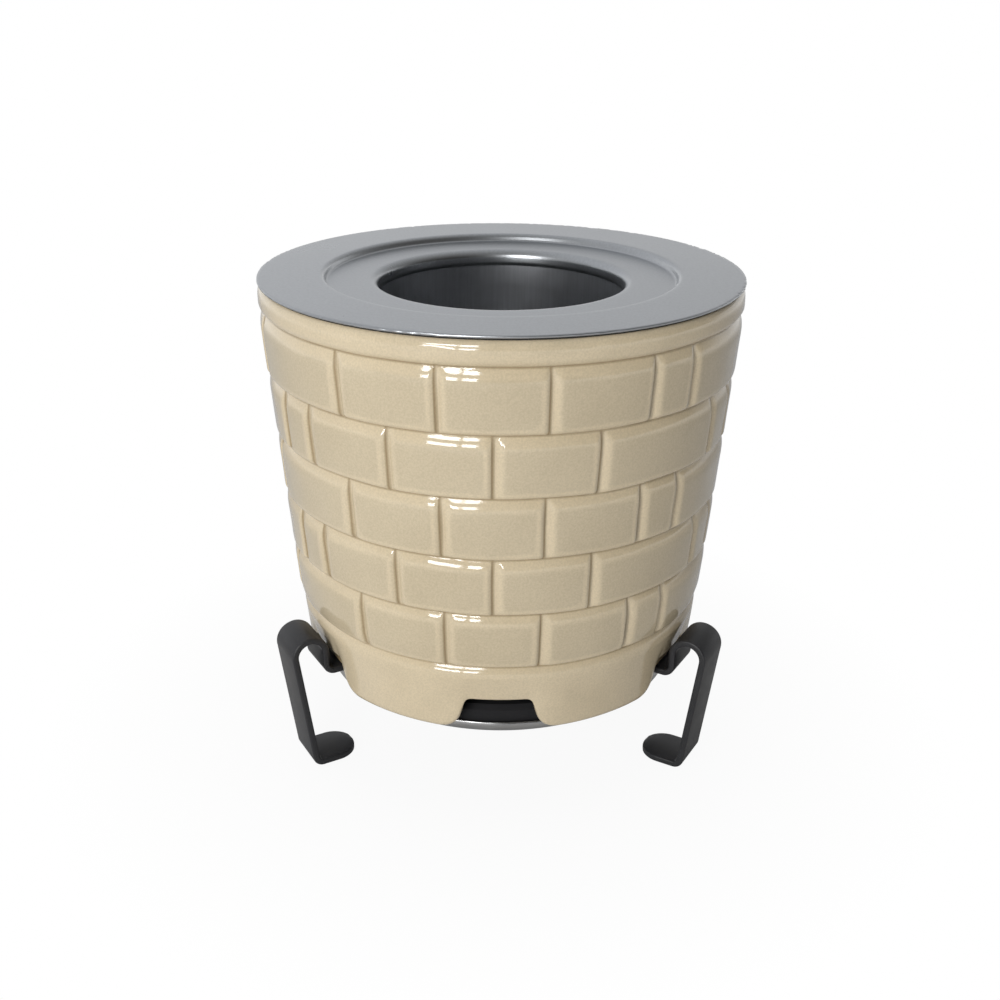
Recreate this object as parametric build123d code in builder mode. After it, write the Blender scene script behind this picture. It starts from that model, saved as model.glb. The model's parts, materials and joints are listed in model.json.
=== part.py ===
from build123d import *
import math
import os

os.makedirs("parts", exist_ok=True)

# Tabletop fire pit, all lengths in mm, angles in degrees from the front towards the right

# Sheet, bar and fastener stock
bar_width = 20.6
bar_thickness = 3.0
ring_sheet = 1.0
cup_sheet = 1.0
pan_sheet = 0.8
plate_sheet = 2.0
clip_sheet = 1.0
floor_sheet = 1.2
grate_sheet = 1.5
leg_angles = {"left": -60, "right": 60, "rear": 180}
notch_angles = [0, 60, 120, 180, 240, 300]

# Heights, stacked up from the ground
tab_bottom = 46.6
shell_overhang = 9.5
foot_height = 32.4
row_heights = [26.0, 25.8, 26.8, 26.8, 27.2]
rim_height = 10.4
gasket_thickness = 1.0
tab_top = tab_bottom + bar_thickness
shell_bottom = tab_top - shell_overhang
groove_heights = [shell_bottom + foot_height]
for row_height in row_heights:
    groove_heights.append(groove_heights[-1] + row_height)
foot_groove = groove_heights[0]
shell_top = groove_heights[-1] + rim_height
ring_bottom = shell_top + gasket_thickness

# Ceramic wall, a cone under the ring's edge, measured at the glazed face
ring_radius = 105.0
rim_setback = 0.2
rim_round = 1.4
rim_edge = 3.0
cone_flare = 0.42
cone_slope = 0.08
brick_proud = 0.5
joint_depth = 1.0
wall_thickness = 7.5
groove_floor = 1.6
groove_mouth = 4.0
joint_run_out = 2.0
odd_row_joints = [-36, -12, 12, 36, 48]
even_row_joints = [-60, -48, -24, 0, 24]
pattern_repeat = 120
brick_shift = -1.5
foot_setback = 0.78
foot_taper = 2.7
foot_edge = 3.0
rim_band_radius = ring_radius - rim_setback
rim_edge_radius = rim_band_radius - rim_round


def cone_at(height):
    return rim_band_radius + cone_flare - cone_slope * (shell_top - height)


def inner_wall_at(height):
    return cone_at(height) - wall_thickness


foot_top_radius = cone_at(foot_groove) - foot_setback
foot_bottom_radius = foot_top_radius - foot_taper

# Notches in the foot of the ceramic, wide enough for the bar
bar_clearance = 4.0
notch_flare = 5.1
notch_headroom = 5.8
notch_corner = 4.0
notch_cut_in = 2.2
notch_top = tab_top + notch_headroom
notch_half_top = bar_width / 2 + bar_clearance
notch_half_bottom = notch_half_top + notch_flare
notch_inner = inner_wall_at(shell_bottom) - notch_cut_in

# Ash pan, tie plate and screw circles, set in from the ceramic
pan_gap = 1.2
pan_below_shell = 0.2
pan_depth = 5.4
pan_corner = 2.6
plate_gap = 1.2
skirt_gap = 1.7
screw_inset = 8.5
screw_spacing = 10.0
tab_margin = 6.0
plate_margin = 8.0
pan_radius = inner_wall_at(shell_bottom) - pan_gap
pan_top = shell_bottom - pan_below_shell
pan_bottom = pan_top - pan_depth
plate_outer = pan_radius - pan_sheet - plate_gap
skirt_bottom = pan_bottom + pan_sheet + skirt_gap
leg_screw_at = plate_outer - screw_inset
pan_screw_at = leg_screw_at - screw_spacing
tab_end = pan_screw_at - tab_margin
plate_inner = tab_end - plate_margin

# M4 fasteners
shank_radius = 2.0
shank_clearance = 0.2
thread_clearance = 0.04
head_radius = 3.8
head_height = 2.3
head_round = 1.6
socket_flats = 2.5
socket_depth = 1.3
washer_radius = 4.5
washer_thickness = 0.8
nut_flats = 7.0
nut_height = 3.2
thread_showing = 0.8
spacer_radius = 4.0

# Lugs inside the ceramic that rest on the leg tabs, clear of the screw heads
lug_clearance = 1.2
lug_side = 2.2
lug_height = 12.0
pad_thickness = 0.8
pad_depth = 3.6
pad_inset = 0.4
lug_inner = leg_screw_at + head_radius + lug_clearance
lug_half_width = bar_width / 2 + lug_side

# Legs, hooked up the outside of the ceramic foot
hook_rise = 8.9
hook_gap = 1.0
tab_bend = 4.0
hump_radius = 7.1
strut_lean = 7.34
foot_bend = 3.5
toe_reach = 14.4
cut_over = 1.0
hump_height = tab_top + hook_rise
foot_share = (hump_height - shell_bottom) / foot_height
foot_face = foot_bottom_radius + foot_taper * foot_share
riser_radius = foot_face + hook_gap + bar_thickness / 2
hook_reach = riser_radius + 2 * hump_radius + bar_thickness / 2
foot_tip = riser_radius - toe_reach

# Top ring
flange_width = 26.8
step_bend = 1.7
step_angle = 70.0
step_flat = 1.02
bore_radius = 53.5
lip_bend = 3.0
lip_depth = 6.5
step_outer = ring_radius - flange_width
lip_bend_at = bore_radius + ring_sheet / 2 + lip_bend

# Fire cup
cup_gap = 1.5
cup_flange_width = 11.5
cup_bend = 1.5
cup_depth = 143.3
cup_seat_width = 8.5
air_hole = 3.0
air_hole_rise = 9.0
air_hole_spacing = 30
ash_hole = 3.0
ash_hole_rows = {16.0: 6, 32.0: 12}
cup_middle = bore_radius + ring_sheet + cup_gap + cup_sheet / 2
cup_flange = cup_middle + cup_flange_width
floor_radius = cup_middle - cup_sheet / 2 - cup_bend
cup_seat = floor_radius - cup_seat_width

# Grate
grate_gap = 1.5
grate_foot_inset = 8.0
grate_foot_radius = 4.0
grate_foot_height = 12.0
grate_pin = 2.0
grate_pin_clearance = 0.05
grate_hole = 4.0
grate_hole_rows = {17.0: 6, 33.0: 12}
grate_radius = bore_radius - grate_gap
grate_foot_at = grate_radius - grate_foot_inset

# Gasket and locating clips between ring and ceramic
gasket_inset = 0.8
gasket_setback = 0.4
clip_gap = 0.52
clip_arm = 8.2
clip_width = 14.0
clip_drop = 13.5
gasket_inner = inner_wall_at(shell_top) + gasket_inset
gasket_outer = rim_edge_radius - gasket_setback
clip_bottom = ring_bottom - clip_drop
clip_outer = inner_wall_at(clip_bottom) - clip_gap
clip_inner = clip_outer - clip_arm

# The pit axis is set so that the outline is centred on the origin
pit_y = (ring_radius - hook_reach) / 2
pit_axis = Axis((0, pit_y, 0), (0, 0, 1))
upright = Plane(origin=(0, pit_y, 0), x_dir=(1, 0, 0), z_dir=(0, -1, 0))


def heading(angle):
    turn = math.radians(angle)
    return math.sin(turn), -math.cos(turn)


def level(height):
    return Plane(origin=(0, pit_y, height), x_dir=(1, 0, 0), z_dir=(0, 0, 1))


def level_towards(angle, height):
    x, y = heading(angle)
    return Plane(origin=(0, pit_y, height), x_dir=(x, y, 0), z_dir=(0, 0, 1))


def slice_towards(angle):
    x, y = heading(angle)
    return Plane(origin=(0, pit_y, 0), x_dir=(x, y, 0), z_dir=(y, -x, 0))


def facing(angle):
    x, y = heading(angle)
    return Plane(origin=(0, pit_y, 0), x_dir=(-y, x, 0), z_dir=(x, y, 0))


def spots(radius):
    headings = [heading(angle) for angle in leg_angles.values()]
    return [(radius * x, radius * y) for x, y in headings]


def shell_outline():
    face_gap = groove_mouth / 2
    floor_gap = groove_floor / 2
    points = [(foot_bottom_radius - foot_edge, shell_bottom)]
    points.append((foot_bottom_radius, shell_bottom + foot_edge))
    for groove in groove_heights:
        below = foot_top_radius if groove == foot_groove else cone_at(groove) + brick_proud
        above = cone_at(groove) + brick_proud
        valley = min(below, above) - brick_proud - joint_depth
        points.append((below, groove - face_gap))
        points.append((valley, groove - floor_gap))
        points.append((valley, groove + floor_gap))
        points.append((min(above, rim_band_radius), groove + face_gap))
    points.append((rim_band_radius, shell_top - rim_edge))
    points.append((rim_edge_radius, shell_top))
    points.append((inner_wall_at(shell_top), shell_top))
    points.append((inner_wall_at(shell_bottom), shell_bottom))
    return points


def joint_plane(angle, height):
    x, y = heading(angle)
    radius = cone_at(height)
    rise = math.hypot(1, cone_slope)
    slant = (x * cone_slope / rise, y * cone_slope / rise, 1 / rise)
    return Plane(
        origin=(radius * x, pit_y + radius * y, height), x_dir=(-y, x, 0), z_dir=slant
    )


# Glazed ceramic shell
with BuildPart() as ceramic_shell:
    with BuildSketch(upright):
        with BuildLine():
            Polyline(*shell_outline(), close=True)
        make_face()
    revolve(axis=pit_axis)
    for row, row_bottom in enumerate(groove_heights[:-1]):
        row_top = groove_heights[row + 1]
        joints = even_row_joints if row % 2 else odd_row_joints
        for turn in range(0, 360, pattern_repeat):
            for joint in joints:
                with BuildSketch(joint_plane(joint + turn + brick_shift, row_bottom)):
                    with BuildLine():
                        Polyline(
                            (-groove_floor / 2, joint_depth),
                            (groove_floor / 2, joint_depth),
                            (groove_mouth / 2, -brick_proud),
                            (groove_mouth / 2, -brick_proud - joint_run_out),
                            (-groove_mouth / 2, -brick_proud - joint_run_out),
                            (-groove_mouth / 2, -brick_proud),
                            close=True,
                        )
                    make_face()
        extrude(amount=row_top - row_bottom, mode=Mode.SUBTRACT)
    for angle in leg_angles.values():
        with BuildSketch(level_towards(angle, tab_top + pad_thickness)):
            with Locations((lug_inner, 0)):
                Rectangle(
                    inner_wall_at(notch_top) + wall_thickness / 2 - lug_inner,
                    2 * lug_half_width,
                    align=(Align.MIN, Align.CENTER),
                )
    extrude(amount=lug_height)
    for angle in notch_angles:
        with BuildSketch(facing(angle).offset(notch_inner)) as notch:
            with BuildLine():
                Polyline(
                    (-notch_half_bottom, shell_bottom),
                    (-notch_half_top, notch_top),
                    (notch_half_top, notch_top),
                    (notch_half_bottom, shell_bottom),
                    (notch_half_bottom, shell_bottom - notch_corner),
                    (-notch_half_bottom, shell_bottom - notch_corner),
                    close=True,
                )
            make_face()
            fillet(notch.vertices().group_by(Axis.Y)[-1], notch_corner)
        extrude(amount=hook_reach - notch_inner, mode=Mode.SUBTRACT)

# Soft ring between the ceramic and the top ring
with BuildPart() as rim_gasket:
    with BuildSketch(level(shell_top)):
        Circle(gasket_outer)
        Circle(gasket_inner, mode=Mode.SUBTRACT)
    extrude(amount=gasket_thickness)

# Pads between the lugs and the leg tabs
with BuildPart() as shell_pads:
    for angle in leg_angles.values():
        with BuildSketch(level_towards(angle, tab_top)):
            with Locations((lug_inner + pad_inset + pad_depth / 2, 0)):
                Rectangle(pad_depth, bar_width)
    extrude(amount=pad_thickness)


# Legs, one bent flat bar each
def build_leg(angle):
    bar_middle = tab_bottom + bar_thickness / 2
    round_end = bar_width / 2
    with BuildPart() as leg:
        with BuildSketch(slice_towards(angle)):
            with BuildLine() as path:
                tab = Line((tab_end, bar_middle), (riser_radius - tab_bend, bar_middle))
                lower = JernArc(tab @ 1, tab % 1, tab_bend, 90)
                riser = Line(lower @ 1, (riser_radius, hump_height))
                hump = JernArc(riser @ 1, riser % 1, hump_radius, -180 - strut_lean)
                down = hump % 1
                drop = math.cos(math.radians(strut_lean))
                bend_rise = foot_bend * (1 - math.sin(math.radians(strut_lean)))
                run = ((hump @ 1).Y - bar_thickness / 2 - bend_rise) / drop
                strut = Line(hump @ 1, hump @ 1 + down * run)
                toe = JernArc(strut @ 1, strut % 1, foot_bend, strut_lean - 90)
                Line(toe @ 1, (foot_tip, bar_thickness / 2))
            trace(line_width=bar_thickness)
        extrude(amount=bar_width / 2, both=True)
        with BuildSketch(level_towards(angle, -cut_over)):
            with Locations((foot_tip, 0)):
                Rectangle(round_end, bar_width, align=(Align.MIN, Align.CENTER))
            with Locations((foot_tip + round_end, 0)):
                Circle(round_end, mode=Mode.SUBTRACT)
        extrude(amount=bar_thickness + 2 * cut_over, mode=Mode.SUBTRACT)
        with BuildSketch(level_towards(angle, tab_bottom - cut_over)):
            with Locations((tab_end, 0)):
                Rectangle(round_end, bar_width, align=(Align.MIN, Align.CENTER))
            with Locations((tab_end + round_end, 0)):
                Circle(round_end, mode=Mode.SUBTRACT)
            with Locations((leg_screw_at, 0), (pan_screw_at, 0)):
                Circle(shank_radius + shank_clearance)
        extrude(amount=bar_thickness + 2 * cut_over, mode=Mode.SUBTRACT)
    return leg


leg_left = build_leg(leg_angles["left"])
leg_right = build_leg(leg_angles["right"])
leg_rear = build_leg(leg_angles["rear"])

# Pressed plate that ties the three tabs together
with BuildPart() as stand_plate:
    with BuildSketch(upright):
        with BuildLine():
            Polyline(
                (plate_inner, tab_bottom),
                (plate_outer - plate_sheet, tab_bottom),
                (plate_outer, tab_bottom - plate_sheet),
                (plate_outer, skirt_bottom),
                (plate_outer - plate_sheet, skirt_bottom),
                (plate_outer - plate_sheet, tab_bottom - plate_sheet),
                (plate_inner, tab_bottom - plate_sheet),
                close=True,
            )
        make_face()
    revolve(axis=pit_axis)
    with BuildSketch(level(tab_bottom)):
        with Locations(*spots(leg_screw_at), *spots(pan_screw_at)):
            Circle(shank_radius + shank_clearance)
    extrude(amount=-plate_sheet, mode=Mode.SUBTRACT)

# Shallow ash pan
with BuildPart() as ash_pan:
    with BuildSketch(upright):
        with BuildLine():
            pan_middle = pan_bottom + pan_sheet / 2
            wall_middle = pan_radius - pan_sheet / 2
            pan_floor = Line((0, pan_middle), (wall_middle - pan_corner, pan_middle))
            pan_turn = JernArc(pan_floor @ 1, pan_floor % 1, pan_corner, 90)
            Line(pan_turn @ 1, (wall_middle, pan_top))
        trace(line_width=pan_sheet)
    revolve(axis=pit_axis)
    with BuildSketch(level(pan_bottom)):
        with Locations(*spots(pan_screw_at)):
            Circle(shank_radius + shank_clearance)
    extrude(amount=pan_sheet, mode=Mode.SUBTRACT)


# Screws with domed socket heads, seated on the tabs
def build_screws(radius, end):
    with BuildPart() as screws:
        with BuildSketch(level(end)):
            with Locations(*spots(radius)):
                Circle(shank_radius)
        extrude(amount=tab_top - end)
        with BuildSketch(level(tab_top)):
            with Locations(*spots(radius)):
                Circle(head_radius)
        extrude(amount=head_height)
        fillet(screws.edges().group_by(Axis.Z)[-1], head_round)
        with BuildSketch(level(tab_top + head_height)):
            with Locations(*spots(radius)):
                RegularPolygon(socket_flats / 2, 6, major_radius=False)
        extrude(amount=-socket_depth, mode=Mode.SUBTRACT)
    return screws


def build_washers(radius, top):
    with BuildPart() as washers:
        with BuildSketch(level(top)):
            with Locations(*spots(radius)):
                Circle(washer_radius)
                Circle(shank_radius + shank_clearance, mode=Mode.SUBTRACT)
        extrude(amount=-washer_thickness)
    return washers


def build_nuts(radius, top):
    with BuildPart() as nuts:
        with BuildSketch(level(top)):
            with Locations(*spots(radius)):
                RegularPolygon(nut_flats / 2, 6, major_radius=False)
                Circle(shank_radius + thread_clearance, mode=Mode.SUBTRACT)
        extrude(amount=-nut_height)
    return nuts


plate_bottom = tab_bottom - plate_sheet
leg_nut_top = plate_bottom - washer_thickness
pan_nut_top = pan_bottom - washer_thickness
leg_screws = build_screws(leg_screw_at, leg_nut_top - nut_height - thread_showing)
leg_washers = build_washers(leg_screw_at, plate_bottom)
leg_nuts = build_nuts(leg_screw_at, leg_nut_top)
pan_screws = build_screws(pan_screw_at, pan_nut_top - nut_height - thread_showing)
pan_washers = build_washers(pan_screw_at, pan_bottom)
pan_nuts = build_nuts(pan_screw_at, pan_nut_top)

# Spacer tubes that hold the ash pan below the plate
with BuildPart() as pan_spacers:
    with BuildSketch(level(pan_bottom + pan_sheet)):
        with Locations(*spots(pan_screw_at)):
            Circle(spacer_radius)
            Circle(shank_radius + shank_clearance, mode=Mode.SUBTRACT)
    extrude(amount=plate_bottom - pan_bottom - pan_sheet)

# Top ring with a stepped recess and a rolled lip round the bore
with BuildPart() as top_ring:
    with BuildSketch(upright):
        with BuildLine():
            ring_middle = ring_bottom + ring_sheet / 2
            flange = Line((ring_radius, ring_middle), (step_outer, ring_middle))
            step_over = JernArc(flange @ 1, flange % 1, step_bend, step_angle)
            step_run = Line(step_over @ 1, step_over @ 1 + (step_over % 1) * step_flat)
            step_under = JernArc(step_run @ 1, step_run % 1, step_bend, -step_angle)
            recess_middle = (step_under @ 1).Y
            recess = Line(step_under @ 1, (lip_bend_at, recess_middle))
            lip_turn = JernArc(recess @ 1, recess % 1, lip_bend, 90)
            Line(lip_turn @ 1, ((lip_turn @ 1).X, recess_middle - lip_depth))
        trace(line_width=ring_sheet)
    revolve(axis=pit_axis)

recess_bottom = recess_middle - ring_sheet / 2
cup_bottom = recess_bottom - cup_depth
air_hole_height = cup_bottom + air_hole_rise

# Drawn wall of the fire cup, welded under the recess
with BuildPart() as cup_wall:
    with BuildSketch(upright):
        with BuildLine():
            flange_middle = recess_bottom - cup_sheet / 2
            seat_middle = cup_bottom + cup_sheet / 2
            cup_rim = Line((cup_flange, flange_middle), (cup_middle + cup_bend, flange_middle))
            cup_turn = JernArc(cup_rim @ 1, cup_rim % 1, cup_bend, 90)
            cup_side = Line(cup_turn @ 1, (cup_middle, seat_middle + cup_bend))
            seat_turn = JernArc(cup_side @ 1, cup_side % 1, cup_bend, -90)
            Line(seat_turn @ 1, (cup_seat, seat_middle))
        trace(line_width=cup_sheet)
    revolve(axis=pit_axis)
    for angle in range(0, 180, air_hole_spacing):
        with BuildSketch(facing(angle + air_hole_spacing / 2)):
            with Locations((0, air_hole_height)):
                Circle(air_hole)
    extrude(amount=cup_flange, both=True, mode=Mode.SUBTRACT)

# Perforated floor of the fire cup
with BuildPart() as cup_floor:
    with BuildSketch(level(cup_bottom + cup_sheet)):
        Circle(floor_radius)
        Circle(ash_hole, mode=Mode.SUBTRACT)
        for row_radius, count in ash_hole_rows.items():
            with PolarLocations(row_radius, count):
                Circle(ash_hole, mode=Mode.SUBTRACT)
    extrude(amount=floor_sheet)

floor_top = cup_bottom + cup_sheet + floor_sheet
grate_bottom = floor_top + grate_foot_height

# Lift-out grate and its three feet
with BuildPart() as fuel_grate:
    with BuildSketch(level(grate_bottom)):
        Circle(grate_radius)
        Circle(grate_hole, mode=Mode.SUBTRACT)
        for row_radius, count in grate_hole_rows.items():
            with PolarLocations(row_radius, count):
                Circle(grate_hole, mode=Mode.SUBTRACT)
        with Locations(*spots(grate_foot_at)):
            Circle(grate_pin + grate_pin_clearance, mode=Mode.SUBTRACT)
    extrude(amount=grate_sheet)

with BuildPart() as grate_feet:
    with BuildSketch(level(floor_top)):
        with Locations(*spots(grate_foot_at)):
            Circle(grate_foot_radius)
    extrude(amount=grate_foot_height)
    with BuildSketch(level(grate_bottom)):
        with Locations(*spots(grate_foot_at)):
            Circle(grate_pin)
    extrude(amount=grate_sheet)

# Clips under the ring that centre it in the ceramic
with BuildPart() as locating_clips:
    for angle in leg_angles.values():
        with BuildSketch(slice_towards(angle)):
            with BuildLine():
                Polyline(
                    (clip_inner, ring_bottom),
                    (clip_outer, ring_bottom),
                    (clip_outer, clip_bottom),
                    (clip_outer - clip_sheet, clip_bottom),
                    (clip_outer - clip_sheet, ring_bottom - clip_sheet),
                    (clip_inner, ring_bottom - clip_sheet),
                    close=True,
                )
            make_face()
    extrude(amount=clip_width / 2, both=True)

pieces = {
    "ceramic_shell": ceramic_shell,
    "rim_gasket": rim_gasket,
    "shell_pads": shell_pads,
    "leg_left": leg_left,
    "leg_right": leg_right,
    "leg_rear": leg_rear,
    "stand_plate": stand_plate,
    "ash_pan": ash_pan,
    "leg_screws": leg_screws,
    "leg_washers": leg_washers,
    "leg_nuts": leg_nuts,
    "pan_screws": pan_screws,
    "pan_spacers": pan_spacers,
    "pan_washers": pan_washers,
    "pan_nuts": pan_nuts,
    "top_ring": top_ring,
    "cup_wall": cup_wall,
    "cup_floor": cup_floor,
    "fuel_grate": fuel_grate,
    "grate_feet": grate_feet,
    "locating_clips": locating_clips,
}
for name, piece in pieces.items():
    piece.part.label = name
    export_step(piece.part, f"parts/{name}.step")
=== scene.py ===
import bpy
import bmesh
import json
import math
from mathutils import Matrix, Vector, noise


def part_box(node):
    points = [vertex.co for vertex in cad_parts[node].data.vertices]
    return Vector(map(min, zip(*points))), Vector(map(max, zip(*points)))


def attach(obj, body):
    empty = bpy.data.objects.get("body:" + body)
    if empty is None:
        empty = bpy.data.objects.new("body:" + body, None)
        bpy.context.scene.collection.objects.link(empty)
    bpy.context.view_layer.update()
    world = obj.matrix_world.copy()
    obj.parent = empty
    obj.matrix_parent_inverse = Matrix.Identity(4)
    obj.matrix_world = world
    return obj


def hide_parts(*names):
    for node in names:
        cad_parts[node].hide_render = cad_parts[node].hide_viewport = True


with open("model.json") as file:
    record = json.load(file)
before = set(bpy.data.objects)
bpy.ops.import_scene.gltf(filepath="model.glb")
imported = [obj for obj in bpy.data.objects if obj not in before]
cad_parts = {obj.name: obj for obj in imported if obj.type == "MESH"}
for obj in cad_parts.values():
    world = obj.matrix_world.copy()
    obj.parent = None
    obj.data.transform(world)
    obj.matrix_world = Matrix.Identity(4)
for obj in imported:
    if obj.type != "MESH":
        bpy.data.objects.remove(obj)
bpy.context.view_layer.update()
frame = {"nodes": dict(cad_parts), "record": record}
nodes = frame["nodes"]
mm = 0.001

ringLow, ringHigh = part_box("top_ring")
centre = Vector((0, (ringLow[1] + ringHigh[1]) / 2, 0))  # every round piece turns about this line
print("frame loaded, pit centre", tuple(centre))


# shader helpers

def newMaterial(name):
    material = bpy.data.materials.new(name)
    material.use_nodes = True
    tree = material.node_tree
    shader = tree.nodes["Principled BSDF"]
    return material, tree, shader


def addNode(tree, kind, values=None, **props):
    node = tree.nodes.new(kind)
    for key, value in props.items():
        setattr(node, key, value)
    for key, value in (values or {}).items():
        node.inputs[key].default_value = value
    return node


def mixColour(tree, factor, first, second, blend="MIX"):
    node = addNode(tree, "ShaderNodeMix", data_type="RGBA", blend_type=blend)
    for socket, value in ((node.inputs[0], factor), (node.inputs[6], first), (node.inputs[7], second)):
        if hasattr(value, "is_output"):
            tree.links.new(value, socket)
        else:
            socket.default_value = value
    return node.outputs[2]


def scaleRange(tree, value, fromMin, fromMax, toMin, toMax):
    node = addNode(tree, "ShaderNodeMapRange", {1: fromMin, 2: fromMax, 3: toMin, 4: toMax})
    tree.links.new(value, node.inputs[0])
    return node.outputs[0]


def addMath(tree, operation, first, second=0.0):
    node = addNode(tree, "ShaderNodeMath", operation=operation)
    for socket, value in zip(node.inputs, (first, second)):
        if hasattr(value, "is_output"):
            tree.links.new(value, socket)
        else:
            socket.default_value = value
    return node.outputs[0]


def objectNoise(tree, scale, detail=3.0, roughness=0.5, stretch=None):
    coords = addNode(tree, "ShaderNodeTexCoord").outputs["Object"]
    if stretch:
        mapping = addNode(tree, "ShaderNodeMapping", {"Scale": stretch})
        tree.links.new(coords, mapping.inputs[0])
        coords = mapping.outputs[0]
    node = addNode(tree, "ShaderNodeTexNoise", {"Scale": scale, "Detail": detail, "Roughness": roughness})
    tree.links.new(coords, node.inputs["Vector"])
    return node.outputs["Fac"]


def addBump(tree, shader, height, strength, distance):
    node = addNode(tree, "ShaderNodeBump", {"Strength": strength, "Distance": distance})
    tree.links.new(height, node.inputs["Height"])
    tree.links.new(node.outputs[0], shader.inputs["Normal"])
    return node


def makeMottleGroup():
    # soft tone and roughness variation with fine specks, shared by every finish
    group = bpy.data.node_groups.new("surfaceMottle", "ShaderNodeTree")
    face = group.interface
    face.new_socket("Tone", in_out="INPUT", socket_type="NodeSocketColor")
    face.new_socket("Dark Tone", in_out="INPUT", socket_type="NodeSocketColor")
    plainSockets = {"Cloud Scale": 30.0, "Speck Scale": 900.0, "Rough Low": 0.3, "Rough High": 0.4}
    for label, start in plainSockets.items():
        face.new_socket(label, in_out="INPUT", socket_type="NodeSocketFloat").default_value = start
    face.new_socket("Colour", in_out="OUTPUT", socket_type="NodeSocketColor")
    face.new_socket("Roughness", in_out="OUTPUT", socket_type="NodeSocketFloat")
    face.new_socket("Speck", in_out="OUTPUT", socket_type="NodeSocketFloat")
    taken = group.nodes.new("NodeGroupInput")
    given = group.nodes.new("NodeGroupOutput")
    coords = group.nodes.new("ShaderNodeTexCoord").outputs["Object"]
    cloud = addNode(group, "ShaderNodeTexNoise", {"Detail": 4.0, "Roughness": 0.55})
    speck = addNode(group, "ShaderNodeTexNoise", {"Detail": 2.0, "Roughness": 0.6})
    for node, label in ((cloud, "Cloud Scale"), (speck, "Speck Scale")):
        group.links.new(coords, node.inputs["Vector"])
        group.links.new(taken.outputs[label], node.inputs["Scale"])
    spread = scaleRange(group, cloud.outputs["Fac"], 0.32, 0.68, 0.0, 1.0)
    tone = mixColour(group, spread, taken.outputs["Dark Tone"], taken.outputs["Tone"])
    group.links.new(tone, given.inputs["Colour"])
    rough = addNode(group, "ShaderNodeMapRange", {1: 0.3, 2: 0.7})
    group.links.new(cloud.outputs["Fac"], rough.inputs[0])
    group.links.new(taken.outputs["Rough Low"], rough.inputs[3])
    group.links.new(taken.outputs["Rough High"], rough.inputs[4])
    group.links.new(rough.outputs[0], given.inputs["Roughness"])
    group.links.new(speck.outputs["Fac"], given.inputs["Speck"])
    return group


mottleGroup = makeMottleGroup()


def addMottle(tree, look):
    node = addNode(tree, "ShaderNodeGroup", node_tree=mottleGroup)
    for label, value in look.items():
        node.inputs[label].default_value = value
    return node


glazeLook = {
    "mottle": {
        "Tone": (0.66, 0.56, 0.395, 1), "Dark Tone": (0.62, 0.522, 0.362, 1),
        "Cloud Scale": 26.0, "Speck Scale": 1300.0, "Rough Low": 0.06, "Rough High": 0.09,
    },
    "face": (0.935, 0.935, 0.925, 1),  # tint of the thicker glaze in a brick's middle, and painted duller reflection there
    "edge": (1.06, 1.055, 1.045, 1),    # tint of the thin glaze over edges, and a painted sheen where the top and left roundings face the light
    "valley": (0.54, 0.475, 0.375, 1),   # tint where glaze pools in the joints, darkened further as painted shade and widest along right edges
    "insideShade": (0.035, 0.032, 0.03, 1),   # painted shade: the whole inside of the shell made near-black for the shadow in it
    "grainLow": (0.93, 0.93, 0.92, 1), "grainHigh": (1.05, 1.05, 1.05, 1),  # fine speckle in the glaze
    "pinhole": (0.12, 0.08, 0.05, 1),
    "waviness": 0.10,
}


def makeGlaze():
    material, tree, shader = newMaterial("glaze")
    look = glazeLook
    mottle = addMottle(tree, look["mottle"])
    inset = addNode(tree, "ShaderNodeAttribute", attribute_name="brickInset").outputs["Fac"]
    wander = objectNoise(tree, 60.0, 1.0)
    depth = addMath(tree, "ADD", inset, scaleRange(tree, wander, 0.3, 0.7, -0.05, 0.05))
    # painted light: lighter edges and a darker middle paint the sheen of the lit roundings, over the real thin
    # and thick glaze
    middle = scaleRange(tree, depth, 0.40, 0.58, 0.0, 1.0)
    # partly dark joints where glaze pools, partly painted shade widened along right edges
    poolAndShade = scaleRange(tree, inset, 0.0, 0.08, 1.0, 0.0)
    tint = mixColour(tree, middle, look["edge"], look["face"])
    tint = mixColour(tree, poolAndShade, tint, look["valley"])
    colour = mixColour(tree, 1.0, mottle.outputs["Colour"], tint, "MULTIPLY")
    speck = scaleRange(tree, mottle.outputs["Speck"], 0.35, 0.65, 0.0, 1.0)
    grain = mixColour(tree, speck, look["grainLow"], look["grainHigh"])
    colour = mixColour(tree, 1.0, colour, grain, "MULTIPLY")
    spots = addNode(tree, "ShaderNodeTexVoronoi", {"Scale": 75.0, "Randomness": 1.0})
    tree.links.new(addNode(tree, "ShaderNodeTexCoord").outputs["Object"], spots.inputs["Vector"])
    rare = scaleRange(tree, objectNoise(tree, 55.0, 1.0), 0.66, 0.68, 0.0, 1.0)
    dot = scaleRange(tree, spots.outputs["Distance"], 0.022, 0.035, 1.0, 0.0)
    colour = mixColour(tree, addMath(tree, "MULTIPLY", dot, rare), colour, look["pinhole"])
    # painted shade: every inside face of the shell turns near-black
    inside = scaleRange(tree, inset, -0.6, -0.4, 1.0, 0.0)
    colour = mixColour(tree, inside, colour, look["insideShade"])
    tree.links.new(colour, shader.inputs["Base Color"])
    tree.links.new(mottle.outputs["Roughness"], shader.inputs["Roughness"])
    fine = addMath(tree, "MULTIPLY", mottle.outputs["Speck"], 0.04)
    swell = objectNoise(tree, 70.0, 2.0, 0.4)
    addBump(tree, shader, addMath(tree, "ADD", swell, fine), look["waviness"], 0.0012)
    shader.inputs["IOR"].default_value = 1.48
    shader.inputs["Coat Roughness"].default_value = 0.03
    shader.inputs["Coat IOR"].default_value = 1.5
    shader.inputs["Coat Weight"].default_value = 0.35
    return material


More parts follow.
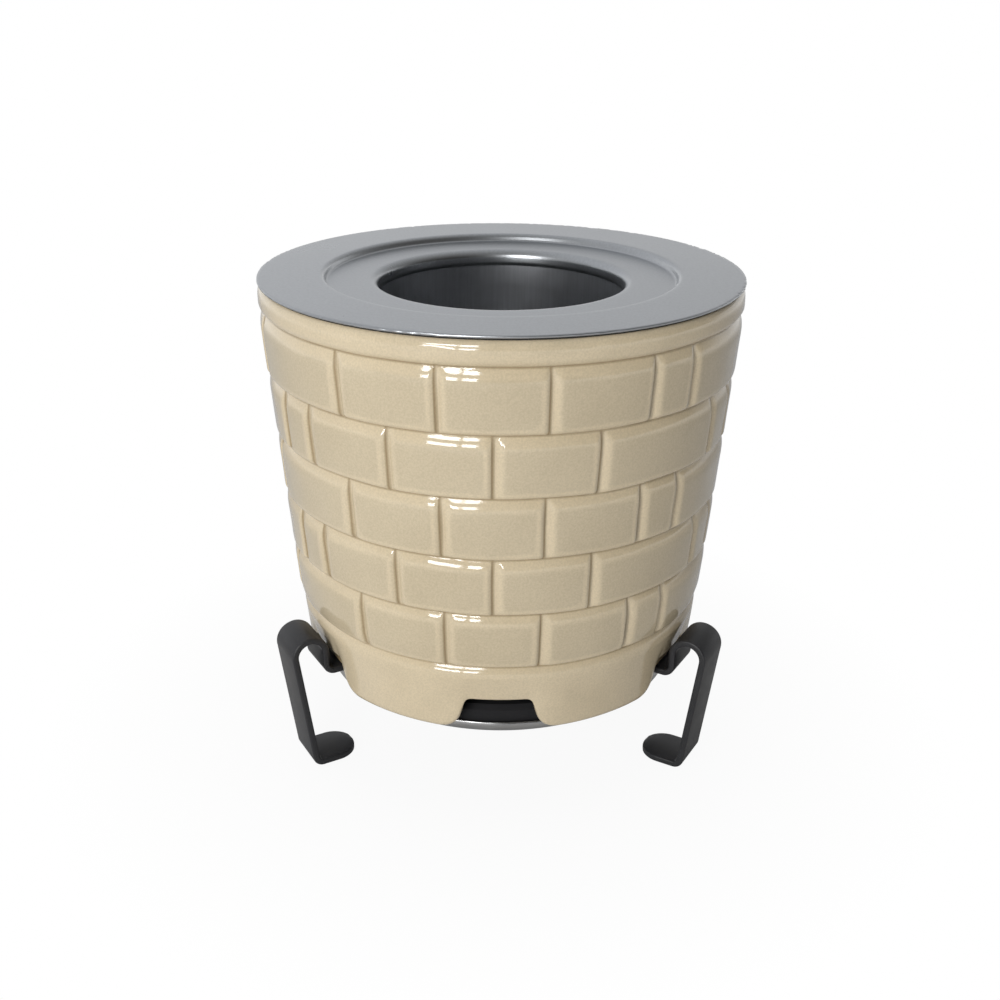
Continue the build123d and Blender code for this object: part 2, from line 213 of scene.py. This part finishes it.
steelLooks = {
    "ring": {
        "mottle": {
            "Tone": (0.45, 0.468, 0.485, 1), "Dark Tone": (0.41, 0.428, 0.445, 1),
            "Cloud Scale": 18.0, "Speck Scale": 1800.0, "Rough Low": 0.27, "Rough High": 0.33,
        },
        "grain": (1.0, 1.0, 1.0), "grainScale": 900.0, "grainStrength": 0.12,
    },
    "cup": {
        "mottle": {
            "Tone": (0.58, 0.60, 0.63, 1), "Dark Tone": (0.44, 0.45, 0.47, 1),
            "Cloud Scale": 14.0, "Speck Scale": 1200.0, "Rough Low": 0.32, "Rough High": 0.42,
        },
        "grain": (1.0, 1.0, 0.04), "grainScale": 700.0, "grainStrength": 0.25,
    },
    "pan": {
        "mottle": {
            "Tone": (0.46, 0.46, 0.46, 1), "Dark Tone": (0.36, 0.36, 0.36, 1),
            "Cloud Scale": 24.0, "Speck Scale": 1500.0, "Rough Low": 0.20, "Rough High": 0.30,
        },
        "grain": (0.1, 0.1, 1.0), "grainScale": 900.0, "grainStrength": 0.15,
    },
    "screw": {
        "mottle": {
            "Tone": (0.52, 0.52, 0.53, 1), "Dark Tone": (0.42, 0.42, 0.43, 1),
            "Cloud Scale": 200.0, "Speck Scale": 2500.0, "Rough Low": 0.25, "Rough High": 0.36,
        },
        "grain": (1.0, 1.0, 0.2), "grainScale": 1500.0, "grainStrength": 0.1,
    },
    "grate": {
        "mottle": {
            "Tone": (0.26, 0.26, 0.265, 1), "Dark Tone": (0.17, 0.165, 0.16, 1),
            "Cloud Scale": 40.0, "Speck Scale": 1400.0, "Rough Low": 0.40, "Rough High": 0.52,
        },
        "grain": (1.0, 1.0, 1.0), "grainScale": 1100.0, "grainStrength": 0.2,
    },
}


streakTones = {"dark": (0.93, 0.93, 0.93, 1), "light": (1.05, 1.05, 1.05, 1)}  # along the brushing


def makeSteel(name):
    look = steelLooks[name]
    material, tree, shader = newMaterial(name + "Steel")
    mottle = addMottle(tree, look["mottle"])
    grain = objectNoise(tree, look["grainScale"], 2.0, 0.6, look["grain"])
    share = scaleRange(tree, grain, 0.3, 0.7, 0.0, 1.0)
    streak = mixColour(tree, share, streakTones["dark"], streakTones["light"])
    colour = mixColour(tree, 1.0, mottle.outputs["Colour"], streak, "MULTIPLY")
    tree.links.new(colour, shader.inputs["Base Color"])
    tree.links.new(mottle.outputs["Roughness"], shader.inputs["Roughness"])
    shader.inputs["Metallic"].default_value = 1.0
    addBump(tree, shader, grain, look["grainStrength"], 0.00004)
    return material


coatLooks = {
    "blackCoat": {
        "mottle": {
            "Tone": (0.024, 0.025, 0.028, 1), "Dark Tone": (0.017, 0.017, 0.019, 1),
            "Cloud Scale": 60.0, "Speck Scale": 1600.0, "Rough Low": 0.40, "Rough High": 0.50,
        },
        "worn": (0.06, 0.06, 0.064, 1), "orangePeel": 0.22, "ior": 1.5,
    },
    "plateShadeCoat": {  # painted shade: the plate under the fire, made near-black and dull for the shadow inside the stand
        "mottle": {
            "Tone": (0.010, 0.010, 0.012, 1), "Dark Tone": (0.006, 0.006, 0.007, 1),
            "Cloud Scale": 45.0, "Speck Scale": 1400.0, "Rough Low": 0.70, "Rough High": 0.85,
        },
        "worn": (0.03, 0.03, 0.032, 1), "orangePeel": 0.3, "ior": 1.3,
    },
}


def makeCoat(name):
    look = coatLooks[name]
    material, tree, shader = newMaterial(name)
    mottle = addMottle(tree, look["mottle"])
    geometry = addNode(tree, "ShaderNodeNewGeometry")
    worn = scaleRange(tree, geometry.outputs["Pointiness"], 0.53, 0.60, 0.0, 0.5)
    colour = mixColour(tree, worn, mottle.outputs["Colour"], look["worn"])
    tree.links.new(colour, shader.inputs["Base Color"])
    tree.links.new(mottle.outputs["Roughness"], shader.inputs["Roughness"])
    addBump(tree, shader, objectNoise(tree, 1100.0, 1.0, 0.4), look["orangePeel"], 0.0001)
    shader.inputs["IOR"].default_value = look["ior"]
    return material


# painted shade: the near-black gasket tone is partly the fibre's own colour and partly the shadow in the gap
# under the ring
fibreAndGapShadeLook = {
    "mottle": {
        "Tone": (0.035, 0.033, 0.032, 1), "Dark Tone": (0.018, 0.017, 0.017, 1),
        "Cloud Scale": 220.0, "Speck Scale": 2600.0, "Rough Low": 0.85, "Rough High": 0.95,
    },
}


def makeFibre():
    material, tree, shader = newMaterial("gasketFibre")
    mottle = addMottle(tree, fibreAndGapShadeLook["mottle"])
    tree.links.new(mottle.outputs["Colour"], shader.inputs["Base Color"])
    tree.links.new(mottle.outputs["Roughness"], shader.inputs["Roughness"])
    addBump(tree, shader, mottle.outputs["Speck"], 0.6, 0.0002)
    return material


materials = {
    "glaze": makeGlaze(),
    "ring_steel": makeSteel("ring"),
    "cup_steel": makeSteel("cup"),
    "pan_steel": makeSteel("pan"),
    "screw_steel": makeSteel("screw"),
    "grate_steel": makeSteel("grate"),
    "black_coat": makeCoat("blackCoat"),
    "gasket_fibre": makeFibre(),
}
print("materials made")

for entry in frame["record"]["subparts"]:
    node = nodes[entry["node"]]
    node.data.materials.clear()
    node.data.materials.append(materials[entry["material_slot"]])
# painted shade: the plate under the fire is made near-black
nodes["stand_plate"].material_slots[0].material = makeCoat("plateShadeCoat")


# shape helpers

def walk(start, heading, moves, step=0.8):
    # points along straight runs and arcs, in mm: ("go", length) or ("turn", radius, degrees)
    points = [Vector(start)]
    direction = math.radians(heading)
    for move in moves:
        here = points[-1].copy()
        if move[0] == "go":
            count = max(1, round(move[1] / step))
            along = Vector((math.cos(direction), math.sin(direction)))
            points += [here + along * move[1] * i / count for i in range(1, count + 1)]
        else:
            radius, sweep = move[1], math.radians(move[2])
            count = max(6, round(abs(sweep) * radius / (step * 0.5)))
            side = 1 if sweep > 0 else -1
            hub = here + Vector((-math.sin(direction), math.cos(direction))) * radius * side
            for i in range(1, count + 1):
                turned = direction + sweep * i / count
                points.append(hub - Vector((-math.sin(turned), math.cos(turned))) * radius * side)
            direction += sweep
    return points


def pathNormals(points):
    normals = []
    for i in range(len(points)):
        along = points[min(i + 1, len(points) - 1)] - points[max(i - 1, 0)]
        normals.append(Vector((-along.y, along.x)).normalized())
    return normals


def sheetOutline(points, thickness, edgeRound=0.25):
    # closed outline of a sheet that follows the points, with softened ends
    half = thickness / 2
    normals = pathNormals(points)
    tuckStart = (points[1] - points[0]).normalized() * edgeRound
    tuckEnd = (points[-2] - points[-1]).normalized() * edgeRound
    upper = [p + n * half for p, n in zip(points, normals)]
    lower = [p - n * half for p, n in zip(points, normals)]
    upper[0] += tuckStart
    lower[0] += tuckStart
    upper[-1] += tuckEnd
    lower[-1] += tuckEnd
    soft = half - edgeRound
    endCap = [points[-1] + normals[-1] * soft, points[-1] - normals[-1] * soft]
    startCap = [points[0] - normals[0] * soft, points[0] + normals[0] * soft]
    return upper + endCap + lower[::-1] + startCap


def spinOutline(outline, steps, closed=True):
    bm = bmesh.new()
    verts = [bm.verts.new((centre.x, centre.y - p[0] * mm, p[1] * mm)) for p in outline]
    edges = [bm.edges.new((verts[i - 1], verts[i])) for i in range(0 if closed else 1, len(verts))]
    bmesh.ops.spin(bm, geom=verts + edges, cent=centre, axis=(0, 0, 1), angle=2 * math.pi,
                   steps=steps, use_merge=True, use_normal_flip=False, use_duplicate=False)
    bmesh.ops.remove_doubles(bm, verts=bm.verts, dist=1e-6)
    bmesh.ops.recalc_face_normals(bm, faces=bm.faces)
    return bm


def addPiece(bm, name, slot, body, replaced, sharpAngle=None):
    mesh = bpy.data.meshes.new(name)
    bm.to_mesh(mesh)
    bm.free()
    mesh.materials.append(materials[slot])
    mesh.shade_smooth()
    if sharpAngle:
        mesh.set_sharp_from_angle(angle=math.radians(sharpAngle))
    piece = bpy.data.objects.new(name, mesh)
    bpy.context.scene.collection.objects.link(piece)
    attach(piece, body)
    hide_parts(*replaced)
    print(name, len(mesh.polygons), "faces")
    return piece


# top ring

ringShape = {
    "outer": 105.0, "top": 217.5, "sheet": 1.0, "stepAt": 78.2, "stepBend": 1.7, "stepAngle": 70,
    "stepFlat": 1.02, "lipAt": 57.0, "lipBend": 3.0, "lipDrop": 3.5, "steps": 480,
    "burr": 0.32,
}


def makeTopRing():
    s = ringShape
    turn = math.radians(s["stepAngle"])
    recessAt = s["stepAt"] - 2 * s["stepBend"] * math.sin(turn) - s["stepFlat"] * math.cos(turn)
    moves = [
        ("go", s["outer"] - s["stepAt"]), ("turn", s["stepBend"], s["stepAngle"]), ("go", s["stepFlat"]),
        ("turn", s["stepBend"], -s["stepAngle"]), ("go", recessAt - s["lipAt"]),
        ("turn", s["lipBend"], 90), ("go", s["lipDrop"]),
    ]
    path = walk((s["outer"], s["top"] - s["sheet"] / 2), 180, moves, 1.6)
    bm = spinOutline(sheetOutline(path, s["sheet"], 0.2), s["steps"])
    for vert in bm.verts:  # the sheared rim is a little ragged
        out = Vector((vert.co.x - centre.x, vert.co.y - centre.y, 0))
        if out.length > (s["outer"] - 0.6) * mm:
            torn = max(0.0, noise.noise(out.normalized() * 2.3 + Vector((0.4, 0, 0))) + 0.25)
            rag = noise.noise(vert.co * 1700) * torn * 2
            vert.co += out.normalized() * (rag - 1) * s["burr"] * mm
            vert.co.z += min(0.0, rag) * s["burr"] * mm
    return addPiece(bm, "topRing", "ring_steel", "burner", ["top_ring"])


makeTopRing()


# ceramic shell

shellShape = {
    "coneRadius": 96.65, "coneHeight": 108.4, "coneSlope": 0.08, "proud": 0.5, "wall": 7.5,
    "depth": 2.5, "roll": 2.1, "topEdge": 8.5, "bottomEdge": 2.3, "leftEdge": 5.0, "rightEdge": 2.0,
    # painted shade: widens the dark joint tint along each brick's right edge
    "rightShadeWidth": 0.75,
    "rimEdge": 3.2, "footEdge": 6.5, "bandInset": 0.42, "insetReach": 10.0,
    "bottom": 40.1, "top": 215.5, "grooves": [205.1, 177.9, 151.1, 124.3, 98.5, 72.5],
    "oddJoints": [-36, -12, 12, 36, 48], "evenJoints": [-60, -48, -24, 0, 24],
    "shift": -1.5, "rimRadius": 104.75, "rimRound": (2.6, 5.0),
    "footTop": 93.4, "footBottom": 90.3, "footRound": 3.0, "steps": 600,
    "rows": [2.9, 2.1, 1.4, 0.8, 0.3, 0, -0.5, -1.2, -2.1, -3.1, -4.3, -5.7, -7.2, -8.8],
    "faceStep": 3.6, "footStep": 1.6,  # spacing of the mesh rows away from the joints
    "notchTop": 55.4, "notchHalfTop": 9.0, "notchHalfBottom": 11.6, "notchRounds": [2.6, 8.0], "warpTop": 68.0,
    "wobble": 0.45, "dents": 0.26,
}


def coneAt(height):
    s = shellShape
    return s["coneRadius"] + s["coneSlope"] * (height - s["coneHeight"])


def jointAngles(row):
    s = shellShape
    base = s["evenJoints"] if row % 2 else s["oddJoints"]
    return sorted((a + t + s["shift"]) % 360 for a in base for t in (0, 120, 240))


rowJoints = [jointAngles(row) for row in range(5)]


def rollAt(distance, width):
    # 0 in a joint, 1 on the brick's face, rounding over quickly at first
    share = min(1.0, max(0.0, distance / width))
    return 1 - (1 - share) ** shellShape["roll"]


def shellRelief(angle, height):
    # how far a point lies under the brick face in mm, and how far inside its brick it is from 0 to 1
    s = shellShape
    where = Vector((math.sin(math.radians(angle)), math.cos(math.radians(angle)), 0))
    height = height + s["wobble"] * noise.noise(where * 3.1 + Vector((0, 0, height * 0.02)))
    grooves = s["grooves"]
    for past, edge in ((height - grooves[0], s["rimEdge"]), (grooves[-1] - height, s["footEdge"])):
        if past >= 0:  # the plain bands over and under the bricks
            return s["depth"] * (1 - rollAt(past, edge)), min(s["bandInset"], past / s["insetReach"])
    row = next(i for i in range(5) if grooves[i] >= height > grooves[i + 1] - 1e-6)
    degree = math.radians(1) * coneAt(height)
    toLeft = toRight = 360.0
    for joint in rowJoints[row]:
        drift = 0.25 * noise.noise(Vector((joint * 0.7, row * 3.3, height * 0.05)))
        offset = (angle - joint - drift) % 360
        toLeft = min(toLeft, offset)
        toRight = min(toRight, 360 - offset)
    toLeft, toRight = toLeft * degree, toRight * degree
    above, below = grooves[row] - height, height - grooves[row + 1]
    rise = rollAt(above, s["topEdge"]) * rollAt(below, s["bottomEdge"])
    rise *= rollAt(toLeft, s["leftEdge"]) * rollAt(toRight, s["rightEdge"])
    # the light edge band is widest on top and left, where it paints the sheen of the lit roundings
    # the right edge term is pushed out so the dark joint tint paints shade along right edges
    inside = min(above, below * 1.6, toLeft * 1.2, (toRight - s["rightShadeWidth"]) * 1.6)
    return s["depth"] * (1 - rise), min(1.0, max(0.0, inside) / s["insetReach"])


def bandHeights():
    # heights of the mesh rows, close together where bricks round over into a joint
    s = shellShape
    low, high = s["bottom"] + s["footRound"], s["top"] - s["rimRound"][1]
    marks = [g + r for g in s["grooves"] for r in s["rows"]] + [high]
    marks = sorted({round(m, 3) for m in marks if low < m <= high} | {low})
    heights = []
    for a, b in zip(marks, marks[1:]):
        count = max(1, round((b - a) / (s["footStep"] if a < s["warpTop"] else s["faceStep"])))
        heights += [a + (b - a) * i / count for i in range(count)]
    return heights[1:]


def shellOutline():
    s = shellShape
    points = []
    hub = Vector((s["footBottom"] - s["footRound"], s["bottom"] + s["footRound"]))
    for i in range(7):
        turn = math.radians(-90 + 15 * i)
        points.append(hub + Vector((math.cos(turn), math.sin(turn))) * s["footRound"])
    points += [Vector((bandRadius(height), height)) for height in bandHeights()]
    deep, tall = s["rimRound"]
    for i in range(10):
        turn = math.radians(10 * i)
        reach = s["rimRadius"] - deep * (1 - math.cos(turn))
        points.append(Vector((reach, s["top"] - tall * (1 - math.sin(turn)))))
    points.append(Vector((coneAt(s["top"]) - s["wall"] + 1.0, s["top"])))
    inner = [s["top"] - 1.0 - 16.0 * i for i in range(10)] + [66.0 - 2.6 * i for i in range(10)]
    points += [Vector((coneAt(h) - s["wall"], h)) for h in inner]
    points.append(Vector((coneAt(s["bottom"]) - s["wall"] + 0.9, s["bottom"] + 0.2)))
    points.append(Vector((coneAt(s["bottom"]) - s["wall"] + 2.0, s["bottom"])))
    return points


def bandRadius(height):
    s = shellShape
    grooves = s["grooves"]
    if height > grooves[0]:
        share = min(1.0, (height - grooves[0]) / 4.0)
        return coneAt(grooves[0]) + s["proud"] + (s["rimRadius"] - coneAt(grooves[0]) - s["proud"]) * share
    if height < grooves[-1]:
        share = (height - s["bottom"] - s["footRound"]) / (grooves[-1] - s["bottom"] - s["footRound"])
        return s["footBottom"] + (s["footTop"] - s["footBottom"]) * share
    ease = min(1.0, (height - grooves[-1]) / 6.0)
    return (coneAt(height) + s["proud"]) * ease + s["footTop"] * (1 - ease)


def notchPath():
    # half of one notch and the land beside it, as (degrees, height) from 0 to 30 degrees
    s = shellShape
    flankTop = Vector((s["notchHalfTop"], s["notchTop"]))
    flankFoot = Vector((s["notchHalfBottom"], s["bottom"]))
    degree = 1 / (math.radians(1) * s["footBottom"])  # degrees in one mm of girth
    corners = [Vector((0, s["notchTop"])), flankTop, flankFoot, Vector((30, s["bottom"]))]
    flat = [Vector((c.x / degree, c.y)) for c in corners]
    path = [flat[0]]
    for i, size in zip((1, 2), s["notchRounds"]):
        before = (flat[i - 1] - flat[i]).normalized() * size
        after = (flat[i + 1] - flat[i]).normalized() * size
        for k in range(9):
            t = k / 8
            path.append(flat[i] + before * (1 - t) ** 2 + after * t ** 2)
    path.append(flat[3])
    lengths = [0.0]
    for a, b in zip(path, path[1:]):
        lengths.append(lengths[-1] + (b - a).length)
    return [Vector((p.x * degree, p.y)) for p in path], [v / lengths[-1] for v in lengths]


notchPoints, notchShares = notchPath()


def notchAt(share):
    for i in range(len(notchShares) - 1):
        if share <= notchShares[i + 1]:
            t = (share - notchShares[i]) / (notchShares[i + 1] - notchShares[i])
            return notchPoints[i].lerp(notchPoints[i + 1], t)
    return notchPoints[-1]


def makeShell():
    s = shellShape
    bm = spinOutline(shellOutline(), s["steps"])
    depthLayer = bm.verts.layers.float.new("brickInset")
    for vert in bm.verts:
        out = (vert.co - centre) / mm
        radius = math.hypot(out.x, out.y)
        angle = math.degrees(math.atan2(out.x, -out.y)) % 360
        height = out.z
        outside = radius > coneAt(height) - s["wall"] / 2 and s["bottom"] + s["footRound"] < height
        sunk, inset = 0.0, s["bandInset"]
        if outside and height < s["top"] - s["rimRound"][1]:
            sunk, inset = shellRelief(angle, height)
        if outside:
            sunk += s["dents"] * noise.noise(Vector((out.x, out.y, height)) * 0.06)
        if radius > s["rimRadius"] - 0.2:
            sunk = max(sunk, 0.0)
        vert[depthLayer] = inset if radius > coneAt(height) - s["wall"] + 0.5 else -1.0
        if height < s["warpTop"]:  # the foot rises into six notches
            share = (angle % 60) / 30
            side = 1 if share <= 1 else -1
            share = share if share <= 1 else 2 - share
            edge = notchAt(share)
            near = 1 - (height - s["bottom"]) / (s["warpTop"] - s["bottom"])
            base = angle - side * share * 30
            angle = base + side * (share * 30 * (1 - near ** 2) + edge.x * near ** 2)
            height = edge.y + (s["warpTop"] - edge.y) * (1 - near)
        turn = math.radians(angle)
        radius -= sunk
        vert.co = centre + Vector((math.sin(turn) * radius, -math.cos(turn) * radius, height)) * mm
    for angle in (-60, 60, 180):  # lugs that rest on the leg tabs
        turn = math.radians(angle)
        place = Matrix.Translation(centre) @ Matrix.Rotation(turn, 4, "Z")
        place = place @ Matrix.Translation(Vector((0, -82.2, 56.4)) * mm)
        size = Matrix.Diagonal(Vector((25.0, 10.4, 12.0)) * mm).to_4x4()
        lug = bmesh.ops.create_cube(bm, size=1.0, matrix=place @ size)
        edges = list({e for v in lug["verts"] for e in v.link_edges})
        bmesh.ops.bevel(bm, geom=edges, offset=0.8 * mm, offset_type="OFFSET", segments=3, profile=0.5,
                        affect="EDGES", material=-1)
    return addPiece(bm, "ceramicShell", "glaze", "shell", ["ceramic_shell"])


makeShell()


# ash pan, one spun sheet

panShape = {"outer": 82.09, "bottom": 34.9, "top": 39.9, "bend": 2.6, "sheet": 0.8, "steps": 240}


def makePan():
    s = panShape
    moves = [("go", s["outer"] - s["bend"]), ("turn", s["bend"], 90),
             ("go", s["top"] - s["bottom"] - s["bend"])]
    path = walk((0, s["bottom"]), 0, moves, 3.0)
    half = s["sheet"] / 2
    outline = sheetOutline(path, s["sheet"], 0.15)[1:-3]  # open at the axis, where both faces close
    outline = [Vector((0, s["bottom"] + half))] + outline + [Vector((0, s["bottom"] - half))]
    bm = spinOutline(outline, s["steps"], closed=False)
    for vert in bm.verts:
        out = (vert.co - centre) / mm
        if out.z > s["top"] - 0.3:
            vert.co.z += (noise.noise(vert.co * 1200) * 0.12 - 0.12) * mm
    return addPiece(bm, "ashPan", "pan_steel", "stand", ["ash_pan"])


# legs, one rounded flat bar swept along its bends

legShape = {
    "width": 20.6, "thickness": 3.0, "edge": 0.75, "tabEnd": 56.0, "tabHeight": 48.1, "riser": 94.34,
    "tabBend": 4.0, "humpHeight": 58.5, "humpRadius": 7.1, "lean": 7.34, "footBend": 3.5, "footTip": 79.94,
}


def legPath():
    s = legShape
    lean = math.radians(s["lean"])
    humpEnd = s["humpHeight"] - s["humpRadius"] * math.sin(lean)
    strutReach = s["riser"] + s["humpRadius"] * (1 + math.cos(lean))
    run = (humpEnd - s["thickness"] / 2 - s["footBend"] * (1 - math.sin(lean))) / math.cos(lean)
    footAt = strutReach - run * math.sin(lean) - s["footBend"] * math.cos(lean)
    moves = [
        ("go", s["riser"] - s["tabBend"] - s["tabEnd"]), ("turn", s["tabBend"], 90),
        ("go", s["humpHeight"] - s["tabHeight"] - s["tabBend"]), ("turn", s["humpRadius"], -180 - s["lean"]),
        ("go", run), ("turn", s["footBend"], s["lean"] - 90), ("go", footAt - s["footTip"]),
    ]
    return walk((s["tabEnd"], s["tabHeight"]), 0, moves, 0.7)


def makeLeg(name, body, angle, replaced):
    s = legShape
    path = legPath()
    normals = pathNormals(path)
    travelled = [0.0]
    for a, b in zip(path, path[1:]):
        travelled.append(travelled[-1] + (b - a).length)
    total = travelled[-1]
    half = s["width"] / 2
    turn = math.radians(angle)
    outward = Vector((math.sin(turn), -math.cos(turn), 0))
    across = Vector((math.cos(turn), math.sin(turn), 0))

    def section(i):
        # rounded bar section at one station, narrowing into a full round at both ends
        fromEnd = min(travelled[i], total - travelled[i])
        reach = half
        if fromEnd < half:
            reach = math.sqrt(max(0.0, half ** 2 - (half - fromEnd) ** 2))
        reach = max(reach, 1.2)
        thick = s["thickness"] / 2
        if fromEnd < s["edge"]:
            thick -= s["edge"] - math.sqrt(max(0.0, s["edge"] ** 2 - (s["edge"] - fromEnd) ** 2))
        places = []
        for cornerX, cornerY, start in ((1, 1, 0), (-1, 1, 90), (-1, -1, 180), (1, -1, 270)):
            for k in range(4):
                bend = math.radians(start + 30 * k)
                u = cornerX * (reach - s["edge"]) + math.cos(bend) * s["edge"]
                v = cornerY * (thick - min(s["edge"], thick)) + math.sin(bend) * min(s["edge"], thick)
                flat = path[i] + normals[i] * v
                places.append(centre + (outward * flat.x + across * u + Vector((0, 0, flat.y))) * mm)
        return places

    bm = bmesh.new()
    first = [bm.verts.new(place) for place in section(0)]
    edges = [bm.edges.new((first[k - 1], first[k])) for k in range(len(first))]
    bm.faces.new(first)
    for i in range(1, len(path)):
        grown = bmesh.ops.extrude_edge_only(bm, edges=edges)["geom"]
        verts = [g for g in grown if isinstance(g, bmesh.types.BMVert)]
        edges = [g for g in grown if isinstance(g, bmesh.types.BMEdge)]
        for vert, place in zip(verts, section(i)):
            vert.co = place
    bm.faces.new(verts)
    bmesh.ops.recalc_face_normals(bm, faces=bm.faces)
    return addPiece(bm, name, "black_coat", body, [replaced], 50)


makePan()
makeLeg("legLeft", "stand", -60, "leg_left")
makeLeg("legRight", "stand", 60, "leg_right")
makeLeg("legRear", "stand", 180, "leg_rear")


# floor, lights, camera

stageLook = {"size": 30.0, "fadeFrom": 0.09, "fadeTo": 0.22, "nearMix": 0.93, "glossFrom": 0.8, "glossTo": 1.8}


def makeFloor():
    bm = bmesh.new()
    bmesh.ops.create_grid(bm, x_segments=2, y_segments=2, size=stageLook["size"])
    mesh = bpy.data.meshes.new("studioFloor")
    bm.to_mesh(mesh)
    bm.free()
    floor = bpy.data.objects.new("studioFloor", mesh)
    bpy.context.scene.collection.objects.link(floor)
    material, tree, shader = newMaterial("studioFloor")
    shader.inputs["Base Color"].default_value = (0.80, 0.80, 0.80, 1)
    shader.inputs["Roughness"].default_value = 0.9
    glow = addNode(tree, "ShaderNodeEmission", {"Color": (1, 1, 1, 1), "Strength": 1.0})
    coords = addNode(tree, "ShaderNodeTexCoord")
    length = addNode(tree, "ShaderNodeVectorMath", operation="LENGTH")
    tree.links.new(coords.outputs["Object"], length.inputs[0])
    look = stageLook
    away = length.outputs["Value"]
    far = scaleRange(tree, away, look["fadeFrom"], look["fadeTo"], look["nearMix"], 1.0)
    path = addNode(tree, "ShaderNodeLightPath").outputs
    further = scaleRange(tree, away, look["glossFrom"], look["glossTo"], 0.0, 1.0)
    straight = addMath(tree, "MAXIMUM", path["Is Camera Ray"], path["Is Transmission Ray"])
    seen = addMath(tree, "MULTIPLY", far, straight)
    seen = addMath(tree, "MAXIMUM", seen, addMath(tree, "MULTIPLY", further, path["Is Glossy Ray"]))
    mix = addNode(tree, "ShaderNodeMixShader")
    tree.links.new(seen, mix.inputs[0])
    tree.links.new(shader.outputs[0], mix.inputs[1])
    tree.links.new(glow.outputs[0], mix.inputs[2])
    tree.links.new(mix.outputs[0], tree.nodes["Material Output"].inputs["Surface"])
    mesh.materials.append(material)


makeFloor()

worldLook = {
    "level": 0.36, "lean": (-0.27, 0.25, 0.15),  # brighter to the left, to the back and above
    "dark": (0.030, 0.025, 0.021, 1), "mid": (0.44, 0.44, 0.44, 1), "light": (0.95, 0.96, 1.0, 1),
    "backdrop": (0.14, 0.22),  # how high the white backdrop stands that metal shows, and where it ends
}


def makeWorld():
    world = bpy.data.worlds.new("studio")
    bpy.context.scene.world = world
    world.use_nodes = True
    tree = world.node_tree
    tree.nodes.clear()
    output = addNode(tree, "ShaderNodeOutputWorld")
    room = addNode(tree, "ShaderNodeBackground")
    white = addNode(tree, "ShaderNodeBackground", {"Color": (1, 1, 1, 1), "Strength": 1.0})
    direction = addNode(tree, "ShaderNodeTexCoord").outputs["Generated"]
    lean = addNode(tree, "ShaderNodeVectorMath", operation="DOT_PRODUCT")
    lean.inputs[1].default_value = worldLook["lean"]
    tree.links.new(direction, lean.inputs[0])
    ramp = addNode(tree, "ShaderNodeValToRGB")
    ramp.color_ramp.elements[0].position = 0.04
    ramp.color_ramp.elements[0].color = worldLook["dark"]
    ramp.color_ramp.elements[1].position = 0.95
    ramp.color_ramp.elements[1].color = worldLook["light"]
    ramp.color_ramp.elements.new(0.45).color = worldLook["mid"]
    tree.links.new(addMath(tree, "ADD", lean.outputs["Value"], worldLook["level"]), ramp.inputs[0])
    tree.links.new(ramp.outputs[0], room.inputs["Color"])
    split = addNode(tree, "ShaderNodeSeparateXYZ")
    tree.links.new(direction, split.inputs[0])
    low = scaleRange(tree, split.outputs["Z"], *worldLook["backdrop"], 1.0, 0.0)
    behind = scaleRange(tree, split.outputs["Y"], 0.2, 0.5, 0.0, 1.0)
    path = addNode(tree, "ShaderNodeLightPath").outputs
    mirrored = addMath(tree, "MULTIPLY", addMath(tree, "MULTIPLY", low, behind), path["Is Glossy Ray"])
    mix = addNode(tree, "ShaderNodeMixShader")
    straight = addMath(tree, "MAXIMUM", path["Is Camera Ray"], path["Is Transmission Ray"])
    tree.links.new(addMath(tree, "MAXIMUM", straight, mirrored), mix.inputs[0])
    tree.links.new(room.outputs[0], mix.inputs[1])
    tree.links.new(white.outputs[0], mix.inputs[2])
    tree.links.new(mix.outputs[0], output.inputs["Surface"])


makeWorld()

lampLook = {
    # name: azimuth from the front towards the right, elevation, distance in m, width, height, watts
    "windowWideTop": (-26.3, 25.5, 1.6, 0.43, 0.27, 5.2),
    "windowWideLow": (-26.3, 8, 1.6, 0.43, 0.22, 4.3),
    "windowNarrowTop": (-12.8, 25.5, 1.6, 0.18, 0.27, 2.2),
    "windowNarrowLow": (-12.8, 8, 1.6, 0.18, 0.22, 1.8),
}


def aimAt(thing, target):
    thing.rotation_euler = (target - thing.location).to_track_quat("-Z", "Y").to_euler()


def addLamp(name, values):
    azimuth, elevation, distance, width, height, power = values
    turn, lift = math.radians(azimuth), math.radians(elevation)
    light = bpy.data.lights.new(name, "AREA")
    light.shape = "RECTANGLE"
    light.size = width
    light.size_y = height
    light.energy = power
    lamp = bpy.data.objects.new(name, light)
    target = Vector((0, centre.y, 0.13))
    lamp.location = target + distance * Vector(
        (math.sin(turn) * math.cos(lift), -math.cos(turn) * math.cos(lift), math.sin(lift)))
    bpy.context.scene.collection.objects.link(lamp)
    aimAt(lamp, target)


for lampName, lampValues in lampLook.items():
    addLamp(lampName, lampValues)

cameraLook = {"lens": 44.3, "back": 529.6, "height": 338.6, "targetHeight": 108.4, "roll": 0.37}


def addCamera():
    c = cameraLook
    camera = bpy.data.cameras.new("photoCamera")
    camera.lens = c["lens"]
    camera.sensor_width = 36.0
    camera.clip_end = 100.0
    view = bpy.data.objects.new("photoCamera", camera)
    view.location = centre + Vector((0, -c["back"], c["height"])) * mm
    bpy.context.scene.collection.objects.link(view)
    aimAt(view, centre + Vector((0, 0, c["targetHeight"])) * mm)
    view.rotation_euler.rotate_axis("Z", math.radians(c["roll"]))
    bpy.context.scene.camera = view


addCamera()
bpy.context.scene.view_settings.view_transform = "Standard"
print("stage, lights and camera set")
